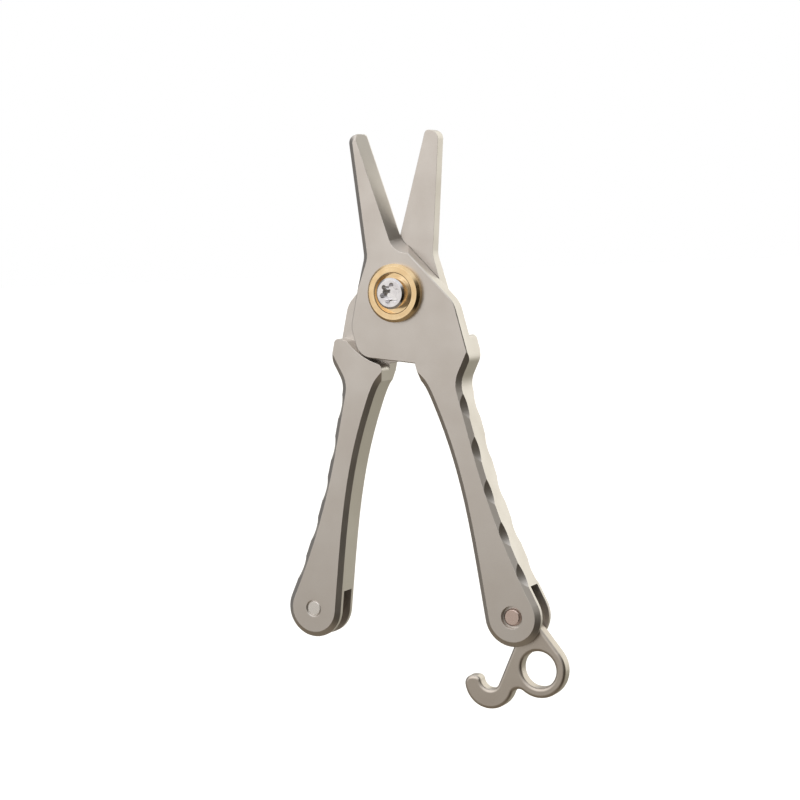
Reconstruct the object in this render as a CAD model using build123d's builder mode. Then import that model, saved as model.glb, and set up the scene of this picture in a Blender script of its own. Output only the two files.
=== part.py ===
from build123d import *
import os
from math import acos, atan2, cos, degrees, hypot, radians, sin, sqrt, tan

# Pocket snips with a hook latch.  Millimetres.  The pivot axis is the Y axis, the blades point
# up (+Z) and the front face looks towards -Y.  The tool is modelled open.
# Both levers have the same shape.  It is drawn closed, with the pivot at (0, 0) and the blade
# up, in a frame whose z axis points out of the lever's own face, and then turned open.

os.makedirs("parts", exist_ok=True)

# ---- levers ----
lever_thickness = 4.8        # full thickness, at the handles
lap_gap = 0.10               # between the two half-thickness laps
half_opening = 13.9          # degrees that each lever is turned from closed
stop_gap = 0.10              # left between the stop faces when closed

blade_length = 24.7          # pivot to tip
edge_offset = 2.67           # pivot to the line of the cutting edge
edge_lean = 3.9              # degrees that the edge passes the centre line when closed
choil_height = 7.9           # where the cutting edge ends
spine_width = 2.15           # width of the blade across its tip
spine_tip_radius = 1.25
edge_tip_radius = 0.70
bevel_width = 0.90           # ground bevel along the cutting edge
edge_land = 0.15             # flat left at the cutting edge

hub_half_width = 8.85
hub_corner_depth = 7.6       # below the pivot
hub_corner_radius = 2.8
hub_side_depth = 2.9         # where the side away from the stop leans in towards the waist
hub_side_radius = 3.5
waist_height = 6.65
waist_x = 3.79
waist_radius = 3.0
choil_radius = 1.0
hub_front_depth = 3.9        # where the side below the cutting edge turns upright
hub_front_radius = 4.0
hub_bottom = 11.0            # pivot to the foot of the hub, at the stop face
stop_corner_radius = 0.15
lap_radius = 11.25           # round step in the handle that the other hub turns inside
shelf_depth = 8.95           # the step runs straight across below this depth
step_corner_radius = 0.9     # where the round step meets the stop face
shelf_corner_radius = 0.7
stop_depth = 13.7            # pivot to the lower end of the stop face
shoulder_depth = 12.6
shoulder_radius = 1.8
neck_depth = 15.6
neck_radius = 3.7
neck_half_width = 6.25       # outer edge of the handle at the neck
bow_depth = 26.0             # where the outer edge starts to flare

grip_inner_x = 1.85          # inner edge of the handle at its middle
grip_inner_depth = 27.0
stop_heel = (0.95, -17.0)    # inner edge just below the stop face
stop_heel_direction = (-0.6, 1)
pin_x = 4.63                 # handle pin, closed
pin_depth = 51.2
end_radius = 4.5
inner_end_angle = 6.0        # degrees that each edge leans where it meets the round end
outer_end_angle = 12.5

chamfer_width = 0.80         # along the handles and spines, measured on the face
chamfer_depth = 0.50
edge_break = 0.12            # on the hubs
overcut = 0.5                # share of its size by which the chamfer cutter passes the edge
run_out_angle = 8.0          # degrees at which the spine chamfer leaves the hub
bevel_run_out_radius = 2.0   # where the ground bevel ends, at the choil
bevel_run_out_sweep = 75

scallop_count = 5
scallop_pitch = 6.6
scallop_first = 19.2         # depth of the first scallop below the pivot
scallop_radius = 6.1
scallop_depth = 1.00         # below the face, where the scallop reaches the handle's side

slot_width = 2.5
slot_top = 3.3               # at the handle's sides, above the handle pin
slot_cutter_radius = 6.5     # the slot's end is arched

# ---- pivot ----
collar_radius = 4.4
collar_height = 1.05
collar_chamfer = 0.40
recess_radius = 3.05
recess_break = 0.12
collar_floor = 0.10          # left under the screw head, above the hub
sleeve_radius = 2.85
barrel_radius = 1.75
barrel_clearance = 0.04
screw_head_radius = 2.35
screw_head_height = 1.95
screw_head_chamfer = 0.30
barrel_head_radius = 2.70
barrel_head_height = 1.30
barrel_head_chamfer = 0.25
screw_shank_radius = 1.15
screw_tip_chamfer = 0.20
screw_tip_gap = 0.60         # from the screw's tip to the barrel's closed end
barrel_web = 0.80            # closed end of the barrel's threaded hole
head_clearance = 0.04        # under the barrel head, so that the rear lever turns
socket_core_radius = 1.15
socket_lobe_radius = 0.36
socket_lobe_pitch = 1.27
socket_depth = 1.20
washer_radius = 5.50
washer_bore_radius = 3.00
washer_recess_radius = 5.55
washer_recess_depth = 0.40
washer_clearance = 0.04      # from the washer to the front lever

# ---- pins and latch ----
pin_radius = 1.15
pin_recess = 0.10            # pin ends sit below the handle's faces
pin_end_chamfer = 0.12
pin_rim_chamfer = 0.17       # on the catch pin's holes
latch_head_radius = 1.32
latch_head_chamfer = 0.22
latch_head_height = 0.62
latch_counterbore_radius = 1.70

latch_thickness = 2.20
latch_bore_clearance = 0.06
latch_eye_radius = 2.10
latch_fillet = 0.50
take_up = 1.60               # how far the handles spring back onto the hook
seat_angle = 25.3            # degrees of the hook's seat from straight down
mouth_radius = 1.55          # of the seat, and half the width of the mouth
hook_outer_radius = 4.0
hook_outer_offset = (-0.20, -0.55)
hook_tip_height = 0.45       # tip above the seat's centre
hook_tip_radii = (0.55, 0.80, 1.30)  # from the seat round to the outer side
ring_distance = 8.64         # latch pin to the centre of the key ring eye
ring_angle = 23.0            # degrees of the key ring eye from straight down
ring_outer_radius = 4.30
ring_hole_radius = 2.75
notch_radius = 1.2           # between the hook and the ring
throat_radius = 0.8          # between the arm and the eye

# ---- worked out from the above ----
face = lever_thickness / 2
lap = lap_gap / 2
turn_open = Rot(0, 0, half_opening)
front_frame = Plane(Plane.XZ.location * turn_open)
rear_frame = Plane(Plane((0, 0, 0), x_dir=(-1, 0, 0), z_dir=(0, 1, 0)).location * turn_open)
frames = {"front": front_frame, "rear": rear_frame}
stop_x = stop_gap / 2
stop_foot = (stop_x, -stop_depth)
pin_point = (pin_x, -pin_depth)
washer_thickness = washer_recess_depth + lap_gap - washer_clearance
slot_centre = slot_top - sqrt(slot_cutter_radius**2 - end_radius**2)
seat_distance = 2 * pin_x + take_up


def edge_x(height):
    """Cutting edge at a height, closed."""
    return edge_offset / cos(radians(edge_lean)) - height * tan(radians(edge_lean))


def along(angle, distance, start=(0, 0)):
    """Point at a distance, at an angle from straight down, positive to the right."""
    return start[0] + distance * sin(radians(angle)), start[1] - distance * cos(radians(angle))


# Corners of the hub and blade, clockwise seen from outside the lever, as point and radius.
hub_corners = [
    ((stop_x, -hub_bottom), stop_corner_radius),
    ((-hub_half_width, -hub_corner_depth), hub_corner_radius),
    ((-hub_half_width, -hub_side_depth), hub_side_radius),
    ((-waist_x, waist_height), waist_radius),
    ((edge_x(blade_length) - spine_width, blade_length), spine_tip_radius),
    ((edge_x(blade_length), blade_length), edge_tip_radius),
    ((edge_x(choil_height), choil_height), choil_radius),
    ((hub_half_width, -hub_front_depth), hub_front_radius),
    ((hub_half_width, -shoulder_depth), shoulder_radius),
    ((neck_half_width, -neck_depth), neck_radius),
]
bow = (neck_half_width, -bow_depth)


def corner_line(start, corners, end):
    """Straight runs from start to end, rounded at the corners between them."""
    return FilletPolyline(start, *[point for point, _ in corners], end,
                          radius=[radius for _, radius in corners])


def grip_line():
    """Edge of the handle from the bow, round the end and up the inner side to the stop."""
    outer_end = along(90 + outer_end_angle, end_radius, pin_point)
    inner_end = along(-90 - inner_end_angle, end_radius, pin_point)
    flare = Spline(bow, outer_end, tangents=[(0, -1), along(outer_end_angle, 1)])
    RadiusArc(outer_end, inner_end, -end_radius, short_sagitta=False)
    Spline(inner_end, (grip_inner_x, -grip_inner_depth), stop_heel, stop_foot,
           tangents=[along(180 - inner_end_angle, 1), stop_heel_direction])
    return flare


# ---- edges, all drawn in the lever's own frame ----
with BuildSketch() as outline:
    with BuildLine():
        corner_line(stop_foot, hub_corners, bow)
        grip_line()
    make_face()

shoulder, neck = hub_corners[-2][0], hub_corners[-1][0]
with BuildLine() as grip_edge:
    # The chamfer runs straight off at the shoulder and at the stop.
    corner_line(tuple(2 * s - n for s, n in zip(shoulder, neck)), hub_corners[-1:], bow)
    flare = grip_line()
    Line(stop_foot, tuple(a + b for a, b in zip(stop_foot, stop_heel_direction)))

with BuildLine() as scallop_line:
    Line((neck_half_width, -scallop_first), bow)
    add(flare)

hub_side, waist = hub_corners[2][0], hub_corners[3][0]
hub_lean = degrees(atan2(waist[0] - hub_side[0], waist[1] - hub_side[1]))
with BuildLine() as spine_edge:
    # The chamfer leaves the hub gradually below the waist and runs straight off at the tip.
    corner_line(along(-hub_lean - run_out_angle, waist_height, waist), hub_corners[3:5],
                (hub_half_width, blade_length))

with BuildLine() as hub_back_edge:
    corner_line(hub_corners[0][0], hub_corners[1:4], hub_corners[4][0])

with BuildLine() as hub_front_edge:
    corner_line(hub_corners[5][0], hub_corners[6:9], neck)

with BuildLine() as cutting_edge:
    grind = Line((edge_x(2 * blade_length), 2 * blade_length), (edge_x(choil_height), choil_height))
    JernArc(grind @ 1, grind % 1, bevel_run_out_radius, bevel_run_out_sweep)

# Edge, how many faces it is cut on, width on the face and depth.
edge_cuts = [
    (grip_edge.wire(), 2, chamfer_width, chamfer_depth),
    (spine_edge.wire(), 1, chamfer_width, chamfer_depth),
    (hub_back_edge.wire(), 1, edge_break, edge_break),
    (hub_front_edge.wire(), 1, edge_break, edge_break),
    (cutting_edge.wire(), 1, bevel_width, face - lap - edge_land),
]

step_corners = [
    ((stop_x, -lap_radius), step_corner_radius),
    ((sqrt(lap_radius**2 - shelf_depth**2), -shelf_depth), shelf_corner_radius),
    ((hub_half_width, -shelf_depth), shelf_corner_radius),
]

# ---- the two levers ----
for side, frame in frames.items():
    with BuildPart() as lever:
        with BuildSketch(frame.offset(-face)):
            add(outline.sketch)
        extrude(amount=lever_thickness)

        # Hub and blade are cut to half thickness, down to the round step.
        with BuildSketch(frame.offset(lap)):
            Circle(lap_radius)
            with Locations((0, -shelf_depth)):
                Rectangle(4 * lap_radius, 2 * blade_length, align=(Align.CENTER, Align.MIN))
        extrude(amount=-face - lap, mode=Mode.SUBTRACT)

        # The corners of the step: at the stop face, where it turns straight, and at the shoulder.
        for corner, radius in step_corners:
            corner = frame.from_local_coords((*corner, -face / 2))
            upright_edges = lever.edges().filter_by(Axis(frame.origin, frame.z_dir))
            fillet(upright_edges.sort_by_distance(corner)[0], radius)

        for edge, face_count, width, depth in edge_cuts:
            for outward in (frame.z_dir, -frame.z_dir)[:face_count]:
                path = Plane(frame.origin + outward * face, x_dir=frame.x_dir, z_dir=frame.z_dir) * edge
                aside = frame.z_dir.cross(path % 0)
                with BuildSketch(Plane(path @ 0, x_dir=aside, z_dir=aside.cross(outward))):
                    Polygon((-(1 + overcut) * width, overcut * depth),
                            (overcut * width, -(1 + overcut) * depth),
                            (overcut * width, overcut * depth), align=None)
                sweep(path=path, mode=Mode.SUBTRACT)

        # Scallops across the chamfers of the outer edge.
        path = frame * scallop_line.wire()
        for number in range(scallop_count):
            at = number * scallop_pitch
            edge_point = path.position_at(at, position_mode=PositionMode.LENGTH)
            aside = frame.z_dir.cross(path.tangent_at(at, position_mode=PositionMode.LENGTH))
            for outward in (frame.z_dir, -frame.z_dir):
                middle = edge_point + outward * (face - scallop_depth / 2) - aside * chamfer_width / 2
                rise = (aside * scallop_depth + outward * chamfer_width).normalized()
                slope = aside * chamfer_width - outward * scallop_depth
                with Locations(Plane(middle + rise * scallop_radius, z_dir=slope)):
                    Cylinder(scallop_radius, 2 * scallop_radius, mode=Mode.SUBTRACT)

        # Slot between the ears, square to the inner edge, open at both sides and the end.
        with BuildSketch(frame.offset(-slot_width / 2)):
            with Locations(Location((*along(180 - inner_end_angle, slot_centre, pin_point), 0),
                                    (0, 0, -inner_end_angle))):
                Circle(slot_cutter_radius)
                Rectangle(2 * slot_cutter_radius, 2 * slot_cutter_radius,
                          align=(Align.CENTER, Align.MAX))
        extrude(amount=slot_width, mode=Mode.SUBTRACT)

        # Handle pin: a counterbore for the latch pin's head, a broken rim elsewhere.
        front_end = frame.offset(face) * Pos(*pin_point)
        with Locations(front_end):
            if side == "front":
                CounterBoreHole(pin_radius, latch_counterbore_radius, latch_head_height + pin_recess)
            else:
                CounterSinkHole(pin_radius, pin_radius + pin_rim_chamfer)
        with Locations(front_end * Pos(0, 0, -lever_thickness) * Rot(180, 0, 0)):
            CounterSinkHole(pin_radius, pin_radius + pin_rim_chamfer)

        # Pivot bore, and on the rear lever a recess for the washer.
        with Locations(frame.offset(face)):
            Hole(sleeve_radius)
        if side == "rear":
            with BuildSketch(frame.offset(lap)):
                Circle(washer_recess_radius)
            extrude(amount=washer_recess_depth, mode=Mode.SUBTRACT)
    lever.part.label = f"{side}_lever"
    export_step(lever.part, f"parts/{side}_lever.step")

    # Flanged bush pressed in the hub.  The front one also grips the barrel.
    bore_radius = barrel_radius if side == "front" else barrel_radius + barrel_clearance
    with BuildPart() as collar:
        with BuildSketch(frame.offset(face)):
            Circle(collar_radius)
        extrude(amount=collar_height)
        rim = collar.edges().filter_by(GeomType.CIRCLE).sort_by(Axis(frame.origin, frame.z_dir))[-1]
        chamfer(rim, collar_chamfer)
        with BuildSketch(frame.offset(lap)):
            Circle(sleeve_radius)
        extrude(amount=face - lap)
        with BuildSketch(frame.offset(face + collar_height)):
            Circle(recess_radius)
        extrude(amount=collar_floor - collar_height, mode=Mode.SUBTRACT)
        ring_edges = collar.faces().sort_by(Axis(frame.origin, frame.z_dir))[-1].edges()
        chamfer(ring_edges.sort_by(SortBy.RADIUS)[0], recess_break)
        with Locations(frame.offset(face)):
            Hole(bore_radius)
    collar.part.label = f"{side}_collar"
    export_step(collar.part, f"parts/{side}_collar.step")

# ---- pivot ----
front = front_frame.offset(face + collar_floor)
rear = front_frame.offset(-face - collar_floor - head_clearance)
barrel_end = rear.offset(-barrel_head_height)
thread_length = (front.origin - barrel_end.origin).length - socket_depth - barrel_web

with BuildSketch() as socket:
    Circle(socket_core_radius)
    with PolarLocations(socket_lobe_pitch, 6):
        Circle(socket_lobe_radius)

with BuildPart() as screw:
    with BuildSketch(front):
        Circle(screw_head_radius)
    extrude(amount=screw_head_height)
    chamfer(screw.edges().filter_by(GeomType.CIRCLE).sort_by(Axis.Y)[0], screw_head_chamfer)
    with BuildSketch(front):
        Circle(screw_shank_radius)
    extrude(amount=screw_tip_gap - thread_length)
    chamfer(screw.edges().filter_by(GeomType.CIRCLE).sort_by(Axis.Y)[-1], screw_tip_chamfer)
    with BuildSketch(front.offset(screw_head_height)):
        add(socket.sketch)
    extrude(amount=-socket_depth, mode=Mode.SUBTRACT)
screw.part.label = "pivot_screw"
export_step(screw.part, "parts/pivot_screw.step")

with BuildPart() as barrel:
    with BuildSketch(barrel_end):
        Circle(barrel_head_radius)
    extrude(amount=barrel_head_height)
    chamfer(barrel.edges().filter_by(GeomType.CIRCLE).sort_by(Axis.Y)[-1], barrel_head_chamfer)
    with BuildSketch(front):
        Circle(barrel_radius)
    extrude(until=Until.NEXT, dir=-front.z_dir)
    with BuildSketch(front):
        Circle(screw_shank_radius)
    extrude(amount=-thread_length, mode=Mode.SUBTRACT)
    with BuildSketch(barrel_end):
        add(socket.sketch)
    extrude(amount=socket_depth, mode=Mode.SUBTRACT)
barrel.part.label = "pivot_barrel"
export_step(barrel.part, "parts/pivot_barrel.step")

with BuildPart() as washer:
    with BuildSketch(rear_frame.offset(lap + washer_recess_depth)):
        Circle(washer_radius)
        Circle(washer_bore_radius, mode=Mode.SUBTRACT)
    extrude(amount=-washer_thickness)
washer.part.label = "pivot_washer"
export_step(washer.part, "parts/pivot_washer.step")

# ---- handle pins ----
with BuildPart() as latch_pin:
    with BuildSketch(front_frame.offset(pin_recess - face)):
        with Locations(pin_point):
            Circle(pin_radius)
    extrude(amount=lever_thickness - 2 * pin_recess)
    with BuildSketch(front_frame.offset(face - pin_recess)):
        with Locations(pin_point):
            Circle(latch_head_radius)
    extrude(amount=-latch_head_height)
    ends = latch_pin.edges().filter_by(GeomType.CIRCLE).sort_by(Axis.Y)
    chamfer(ends[0], latch_head_chamfer)
    chamfer(ends[-1], pin_end_chamfer)
latch_pin.part.label = "latch_pin"
export_step(latch_pin.part, "parts/latch_pin.step")

with BuildPart() as catch_pin:
    with BuildSketch(rear_frame.offset(pin_recess - face)):
        with Locations(pin_point):
            Circle(pin_radius)
    extrude(amount=lever_thickness - 2 * pin_recess)
    chamfer(catch_pin.edges().filter_by(GeomType.CIRCLE), pin_end_chamfer)
catch_pin.part.label = "catch_pin"
export_step(catch_pin.part, "parts/catch_pin.step")

# ---- latch ----
# Drawn about the latch pin as it hangs, x to the right and y up.
ring_centre = along(ring_angle, ring_distance)
seat_centre = along(-seat_angle, seat_distance)
hook_centre = tuple(a + b for a, b in zip(seat_centre, hook_outer_offset))
throat_top = along(90 - seat_angle, mouth_radius)
seat_right = along(90 - seat_angle, mouth_radius, seat_centre)
seat_left = along(-90, mouth_radius, seat_centre)
tip_level = seat_centre[1] + hook_tip_height
tip_inner = (seat_left[0] - hook_tip_height, tip_level)

# The notch is an arc that touches the outsides of the hook and the ring.
across, rise = ring_centre[0] - hook_centre[0], ring_centre[1] - hook_centre[1]
span = hypot(across, rise)
hook_side, ring_side = hook_outer_radius + notch_radius, ring_outer_radius + notch_radius
notch_angle = acos((hook_side**2 + span**2 - ring_side**2) / (2 * hook_side * span))
notch_centre = along(degrees(atan2(across, -rise) - notch_angle), hook_side, hook_centre)

hang = front_frame.from_local_coords((*pin_point, 0))
with BuildPart() as latch:
    with BuildSketch(Plane(hang, x_dir=(1, 0, 0), z_dir=(0, -1, 0)).offset(-latch_thickness / 2)):
        with BuildSketch(mode=Mode.PRIVATE) as limb_ends:
            Circle(latch_eye_radius)
            with Locations(ring_centre):
                Circle(ring_outer_radius)
        make_hull(limb_ends.edges())
        with Locations(hook_centre):
            Circle(hook_outer_radius)
        Polygon(hook_centre, (0, 0), ring_centre, notch_centre, align=None)
        with Locations(notch_centre):
            Circle(notch_radius, mode=Mode.SUBTRACT)
        Polygon(seat_left, tip_inner, (-3 * hook_outer_radius, tip_level), (-3 * hook_outer_radius, latch_eye_radius),
                throat_top, seat_right, align=None, mode=Mode.SUBTRACT)
        with Locations(seat_centre):
            Circle(mouth_radius, mode=Mode.SUBTRACT)
        Circle(latch_eye_radius)
        tip_outer = (hook_centre[0] - hook_outer_radius, tip_level)
        tip_corners = zip((seat_left, tip_inner, tip_outer), hook_tip_radii)
        for corner, radius in ((throat_top, throat_radius), *tip_corners):
            fillet(vertices().sort_by_distance((*corner, 0))[0], radius)
        with Locations(ring_centre):
            Circle(ring_hole_radius, mode=Mode.SUBTRACT)
    extrude(amount=latch_thickness)
    fillet(latch.faces().filter_by(Axis.Y).edges(), latch_fillet)
    with Locations(Plane(hang, x_dir=(1, 0, 0), z_dir=(0, -1, 0))):
        Hole(pin_radius + latch_bore_clearance)
latch.part.label = "latch"
export_step(latch.part, "parts/latch.step")
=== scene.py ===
"""Pocket snips with a hook latch: finishes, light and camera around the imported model.  Metres."""

import math

import bpy
from mathutils import Matrix, Vector


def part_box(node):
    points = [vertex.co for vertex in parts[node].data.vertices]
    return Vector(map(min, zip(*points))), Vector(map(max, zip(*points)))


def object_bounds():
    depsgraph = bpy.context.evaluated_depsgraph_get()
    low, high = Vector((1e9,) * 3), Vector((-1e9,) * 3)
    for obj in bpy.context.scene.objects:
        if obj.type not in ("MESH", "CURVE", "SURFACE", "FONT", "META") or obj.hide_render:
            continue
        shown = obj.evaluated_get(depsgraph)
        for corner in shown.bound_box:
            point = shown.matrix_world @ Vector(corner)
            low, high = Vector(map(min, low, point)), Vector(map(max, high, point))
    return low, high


MM = 0.001

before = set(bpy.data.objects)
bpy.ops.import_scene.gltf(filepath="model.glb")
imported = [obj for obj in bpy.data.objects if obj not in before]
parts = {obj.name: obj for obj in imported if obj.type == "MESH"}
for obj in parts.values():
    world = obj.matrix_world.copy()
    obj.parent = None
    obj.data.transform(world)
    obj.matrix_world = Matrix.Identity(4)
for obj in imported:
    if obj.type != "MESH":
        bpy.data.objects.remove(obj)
cad_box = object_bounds()


# ---- finishes ----
class Finish:
    """A metal finish: its shader, and the nodes that feed it."""

    def __init__(self, name, roughness):
        self.material = bpy.data.materials.new(name)
        self.material.use_nodes = True
        self.tree = self.material.node_tree
        self.shader = self.tree.nodes["Principled BSDF"]
        self.shader.inputs["Metallic"].default_value = 1.0
        self.shader.inputs["Roughness"].default_value = roughness
        self.place = self.tree.nodes.new("ShaderNodeTexCoord").outputs["Object"]
        self.normal = None

    def node(self, kind, settings=(), **sockets):
        """A node with its settings, and its sockets set to values or fed by other nodes."""
        made = self.tree.nodes.new(kind)
        for setting, value in dict(settings).items():
            setattr(made, setting, value)
        for socket, value in sockets.items():
            socket = made.inputs[socket.replace("_", " ")]
            if isinstance(value, bpy.types.NodeSocket):
                self.tree.links.new(value, socket)
            else:
                socket.default_value = value
        return made

    def noise(self, size, detail=2.0, stretch=None):
        """Noise with spots of about the given size, drawn out along the axes of stretch."""
        place = self.place
        if stretch:
            place = self.node("ShaderNodeMapping", Vector=place, Scale=stretch).outputs["Vector"]
        made = self.node("ShaderNodeTexNoise", Vector=place, Scale=1 / size, Detail=detail)
        return made.outputs["Fac"]

    def spread(self, value, low, high, to_low, to_high):
        """The value, with the range from low to high stretched to the new range."""
        made = self.node("ShaderNodeMapRange", Value=value, From_Min=low, From_Max=high,
                         To_Min=to_low, To_Max=to_high)
        return made.outputs["Result"]

    def blend(self, amount, first, second):
        """Colour that goes from first to second with the amount."""
        made = self.node("ShaderNodeMix", {"data_type": "RGBA"})
        for socket, value in ((made.inputs[0], amount), (made.inputs[6], first), (made.inputs[7], second)):
            if isinstance(value, bpy.types.NodeSocket):
                self.tree.links.new(value, socket)
            elif socket == made.inputs[0]:
                socket.default_value = value
            else:
                socket.default_value = (*value, 1)
        return made.outputs[2]

    def relief(self, height, depth, strength):
        """Adds bumps of the given depth on top of those before."""
        made = self.node("ShaderNodeBump", Height=height, Distance=depth, Strength=strength)
        if self.normal:
            self.tree.links.new(self.normal, made.inputs["Normal"])
        self.normal = made.outputs["Normal"]

    def soften_edges(self, radius):
        """Rounds sharp edges over the radius."""
        self.normal = self.node("ShaderNodeBevel", {"samples": 6}, Radius=radius).outputs["Normal"]

    def edges(self, radius):
        """1 along sharp edges, 0 on flat faces."""
        rounded = self.node("ShaderNodeBevel", {"samples": 6}, Radius=radius).outputs["Normal"]
        flat = self.node("ShaderNodeNewGeometry").outputs["Normal"]
        turned = self.node("ShaderNodeVectorMath", {"operation": "DISTANCE"})
        self.tree.links.new(rounded, turned.inputs[0])
        self.tree.links.new(flat, turned.inputs[1])
        return self.spread(turned.outputs["Value"], 0.02, 0.22, 0, 1)

    def done(self, colour, roughness):
        """Feeds the shader and gives back the material."""
        for value, name in ((colour, "Base Color"), (roughness, "Roughness"), (self.normal, "Normal")):
            if value:
                self.tree.links.new(value, self.shader.inputs[name])
        return self.material


def blasted_steel(name, colour, warm, wear_and_highlight):
    """Steel with a fine bead-blasted grain, faintly mottled, and lighter along the edges: partly rubbed
    wear, partly a painted edge highlight.
    """
    finish = Finish(name, 0.36)
    mottle = finish.noise(6 * MM, 4)
    cloud = finish.blend(finish.spread(mottle, 0.35, 0.65, 0, 1), colour, warm)
    grain = finish.noise(0.14 * MM, 3)
    speckled = finish.blend(finish.spread(grain, 0.3, 0.7, 0.0, 0.16), cloud, wear_and_highlight)
    # Lighter along sharp edges in patches: partly rubbed wear, partly a painted highlight along the edges.
    rubbed_and_highlit = finish.edges(0.14 * MM)
    patchy_wear_and_highlight = finish.node("ShaderNodeMath", {"operation": "MULTIPLY"})
    finish.tree.links.new(rubbed_and_highlit, patchy_wear_and_highlight.inputs[0])
    finish.tree.links.new(finish.spread(finish.noise(1.6 * MM, 3), 0.3, 0.6, 0.35, 1), patchy_wear_and_highlight.inputs[1])
    finish.soften_edges(0.08 * MM)
    finish.relief(grain, 0.006 * MM, 0.6)
    finish.relief(finish.noise(1.1 * MM, 3), 0.01 * MM, 0.35)
    roughness = finish.spread(mottle, 0.3, 0.7, 0.33, 0.41)
    return finish.done(finish.blend(patchy_wear_and_highlight.outputs[0], speckled, wear_and_highlight), roughness)


def turned_metal(name, colour, shade, roughness):
    """Metal turned on a lathe about the pivot's axis: fine rings, slightly uneven in tone."""
    finish = Finish(name, roughness)
    rings = finish.node("ShaderNodeTexWave", {"wave_type": "RINGS", "rings_direction": "Y"},
                        Vector=finish.place, Scale=1 / (2.4 * MM), Distortion=0.6)
    rings.inputs["Detail Scale"].default_value = 2
    tone = finish.spread(finish.noise(1.5 * MM, 3), 0.3, 0.7, 0, 1)
    finish.soften_edges(0.06 * MM)
    finish.relief(rings.outputs["Fac"], 0.003 * MM, 0.5)
    finish.relief(finish.noise(0.1 * MM, 2), 0.002 * MM, 0.5)
    return finish.done(finish.blend(tone, colour, shade),
                       finish.spread(tone, 0, 1, roughness * 0.8, roughness * 1.25))


def ground_metal(name, colour, shade, roughness):
    """Plain ground metal with short fine scratches."""
    finish = Finish(name, roughness)
    scratches = finish.noise(0.35 * MM, 3, stretch=(1, 1, 7))
    tone = finish.spread(scratches, 0.35, 0.65, 0, 1)
    finish.soften_edges(0.05 * MM)
    finish.relief(scratches, 0.004 * MM, 0.5)
    return finish.done(finish.blend(tone, colour, shade),
                       finish.spread(tone, 0, 1, roughness * 0.85, roughness * 1.2))


# The third colour is both the grain's light speckle and the edge colour, which is rubbed wear with a
# painted edge highlight.
lever_steel = blasted_steel("lever_steel", (0.66, 0.63, 0.60), (0.63, 0.595, 0.56), (0.78, 0.755, 0.72))
latch_steel = blasted_steel("latch_steel", (0.60, 0.56, 0.51), (0.54, 0.49, 0.44), (0.78, 0.74, 0.69))
collar_brass = turned_metal("collar_brass", (0.90, 0.70, 0.43), (0.80, 0.58, 0.32), 0.17)
washer_bronze = turned_metal("washer_bronze", (0.68, 0.47, 0.26), (0.55, 0.36, 0.19), 0.35)
screw_steel = turned_metal("screw_steel", (0.84, 0.84, 0.86), (0.66, 0.65, 0.68), 0.11)
catch_pin_steel = ground_metal("catch_pin_steel", (0.95, 0.94, 0.93), (0.90, 0.88, 0.86), 0.24)
latch_pin_steel = ground_metal("latch_pin_steel", (0.80, 0.66, 0.61), (0.68, 0.54, 0.49), 0.28)

finishes = {
    "front_lever": lever_steel,
    "rear_lever": lever_steel,
    "latch": latch_steel,
    "front_collar": collar_brass,
    "rear_collar": collar_brass,
    "pivot_washer": washer_bronze,
    "pivot_screw": screw_steel,
    "pivot_barrel": screw_steel,
    "catch_pin": catch_pin_steel,
    "latch_pin": latch_pin_steel,
}
for part, finish in finishes.items():
    parts[part].data.materials.clear()
    parts[part].data.materials.append(finish)


# ---- floor ----
FLOOR_DROP = 25 * MM       # from the latch down to the floor
FLOOR_SIZE = 12.0
FLOOR_GLOW = 0.3           # lifts the floor to an even white

bpy.ops.object.select_all(action="DESELECT")
bpy.ops.mesh.primitive_plane_add(size=FLOOR_SIZE, location=(0, 0, cad_box[0][2] - FLOOR_DROP))
floor = bpy.context.object
floor.name = "floor"
floor_paint = bpy.data.materials.new("floor_paint")
floor_paint.use_nodes = True
paint = floor_paint.node_tree.nodes["Principled BSDF"]
paint.inputs["Base Color"].default_value = (0.97, 0.97, 0.97, 1)
paint.inputs["Roughness"].default_value = 0.9
paint.inputs["Emission Color"].default_value = (1, 1, 1, 1)
paint.inputs["Emission Strength"].default_value = FLOOR_GLOW
floor.data.materials.append(floor_paint)
floor.visible_glossy = False


# ---- light ----
def towards(azimuth, elevation):
    """Unit vector from the object; azimuth 0 is towards -Y and 90 towards +X."""
    azimuth, elevation = math.radians(azimuth), math.radians(elevation)
    return Vector((math.sin(azimuth) * math.cos(elevation), -math.cos(azimuth) * math.cos(elevation),
                   math.sin(elevation)))


world = bpy.data.worlds.new("studio")
bpy.context.scene.world = world
world.use_nodes = True
sky = world.node_tree
sky.nodes.clear()
ray = sky.nodes.new("ShaderNodeTexCoord").outputs["Generated"]


def wall(below, direction, half_width, softness, colour):
    """Paints a soft round patch on the studio's walls over the colours before it."""
    facing = sky.nodes.new("ShaderNodeVectorMath")
    facing.operation = "DOT_PRODUCT"
    sky.links.new(ray, facing.inputs[0])
    facing.inputs[1].default_value = towards(*direction)
    patch = sky.nodes.new("ShaderNodeMapRange")
    patch.interpolation_type = "SMOOTHSTEP"
    sky.links.new(facing.outputs["Value"], patch.inputs["Value"])
    patch.inputs["From Min"].default_value = math.cos(math.radians(half_width + softness))
    patch.inputs["From Max"].default_value = math.cos(math.radians(max(half_width - softness, 0)))
    mixed = sky.nodes.new("ShaderNodeMix")
    mixed.data_type = "RGBA"
    sky.links.new(patch.outputs["Result"], mixed.inputs[0])
    if isinstance(below, bpy.types.NodeSocket):
        sky.links.new(below, mixed.inputs[6])
    else:
        mixed.inputs[6].default_value = (*below, 1)
    mixed.inputs[7].default_value = (*colour, 1)
    return mixed.outputs[2]


GREY_ROOM = (0.44, 0.42, 0.38)
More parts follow.
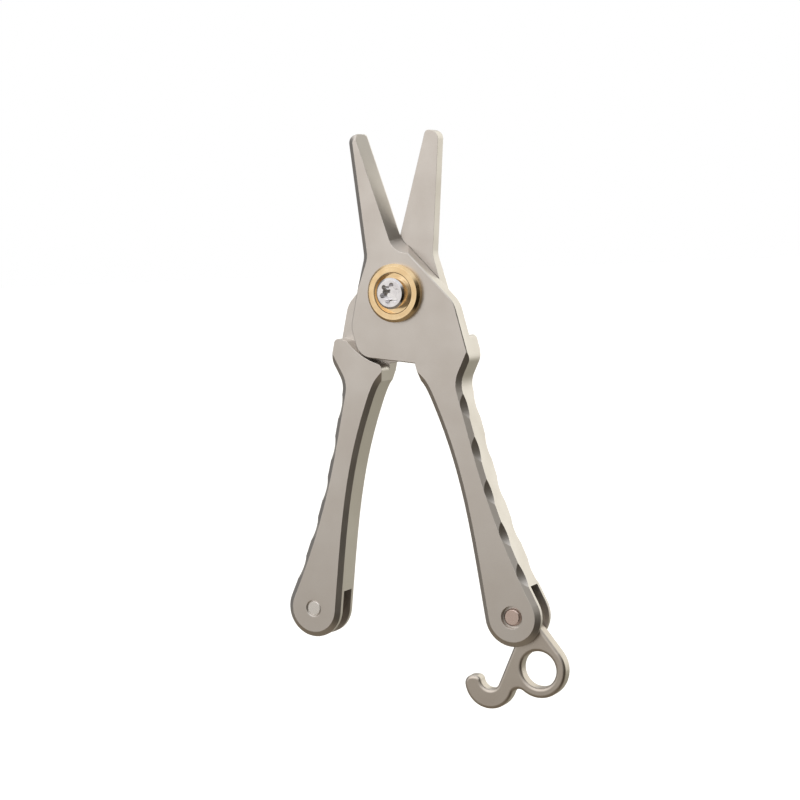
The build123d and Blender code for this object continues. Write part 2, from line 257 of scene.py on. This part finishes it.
# Each patch: azimuth and elevation of its middle, half width, softness, and colour.
patches = [
    ((0, 90), 55, 25, (0.95, 0.95, 0.95)),           # ceiling
    ((-35, -90), 76, 14, (0.25, 0.21, 0.16)),        # dim ground
    ((158, -22), 34, 14, (0.46, 0.44, 0.36)),        # dim wall, low behind
    ((155, 28), 36, 12, (1.30, 1.27, 1.15)),         # bright wall behind
    ((-28, 34), 29, 22, (1.46, 1.40, 1.35)),         # front key
    ((-92, 10), 26, 14, (0.20, 0.20, 0.20)),         # grey card, left
    ((82, 8), 30, 10, (0.06, 0.05, 0.035)),          # brown card, right
    ((48, -26), 26, 8, (0.015, 0.012, 0.006)),       # dark card, low right
]
walls = GREY_ROOM
for patch in patches:
    walls = wall(walls, *patch)
lit = sky.nodes.new("ShaderNodeBackground")
sky.links.new(walls, lit.inputs["Color"])
seen = sky.nodes.new("ShaderNodeBackground")
seen.inputs["Color"].default_value = (1, 1, 1, 1)
choice = sky.nodes.new("ShaderNodeMixShader")
sky.links.new(sky.nodes.new("ShaderNodeLightPath").outputs["Is Camera Ray"], choice.inputs[0])
sky.links.new(lit.outputs[0], choice.inputs[1])
sky.links.new(seen.outputs[0], choice.inputs[2])
sky.links.new(choice.outputs[0], sky.nodes.new("ShaderNodeOutputWorld").inputs["Surface"])


# ---- camera ----
CAMERA_DISTANCE = 300 * MM
CAMERA_AZIMUTH, CAMERA_ELEVATION = 27, 4.4
CAMERA_ROLL = math.radians(-2.6)
PIVOT_IN_VIEW = (-0.66 * MM, 16.05 * MM)     # where the hub's face is, right of and above the centre

forward = -towards(CAMERA_AZIMUTH, CAMERA_ELEVATION)
level = forward.cross(Vector((0, 0, 1))).normalized()
upright = level.cross(forward)
right = level * math.cos(CAMERA_ROLL) + upright * math.sin(CAMERA_ROLL)
up = right.cross(forward)
hub_face = Vector((0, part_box("front_lever")[0][1], 0))
stand = hub_face - forward * CAMERA_DISTANCE - right * PIVOT_IN_VIEW[0] - up * PIVOT_IN_VIEW[1]

lens = bpy.data.cameras.new("camera")
lens.lens = 90
lens.sensor_width = 36
lens.clip_start = 0.01
camera = bpy.data.objects.new("camera", lens)
bpy.context.scene.collection.objects.link(camera)
camera.matrix_world = Matrix((right, up, -forward)).transposed().to_4x4()
camera.location = stand
bpy.context.scene.camera = camera
bpy.context.scene.view_settings.view_transform = "Standard"
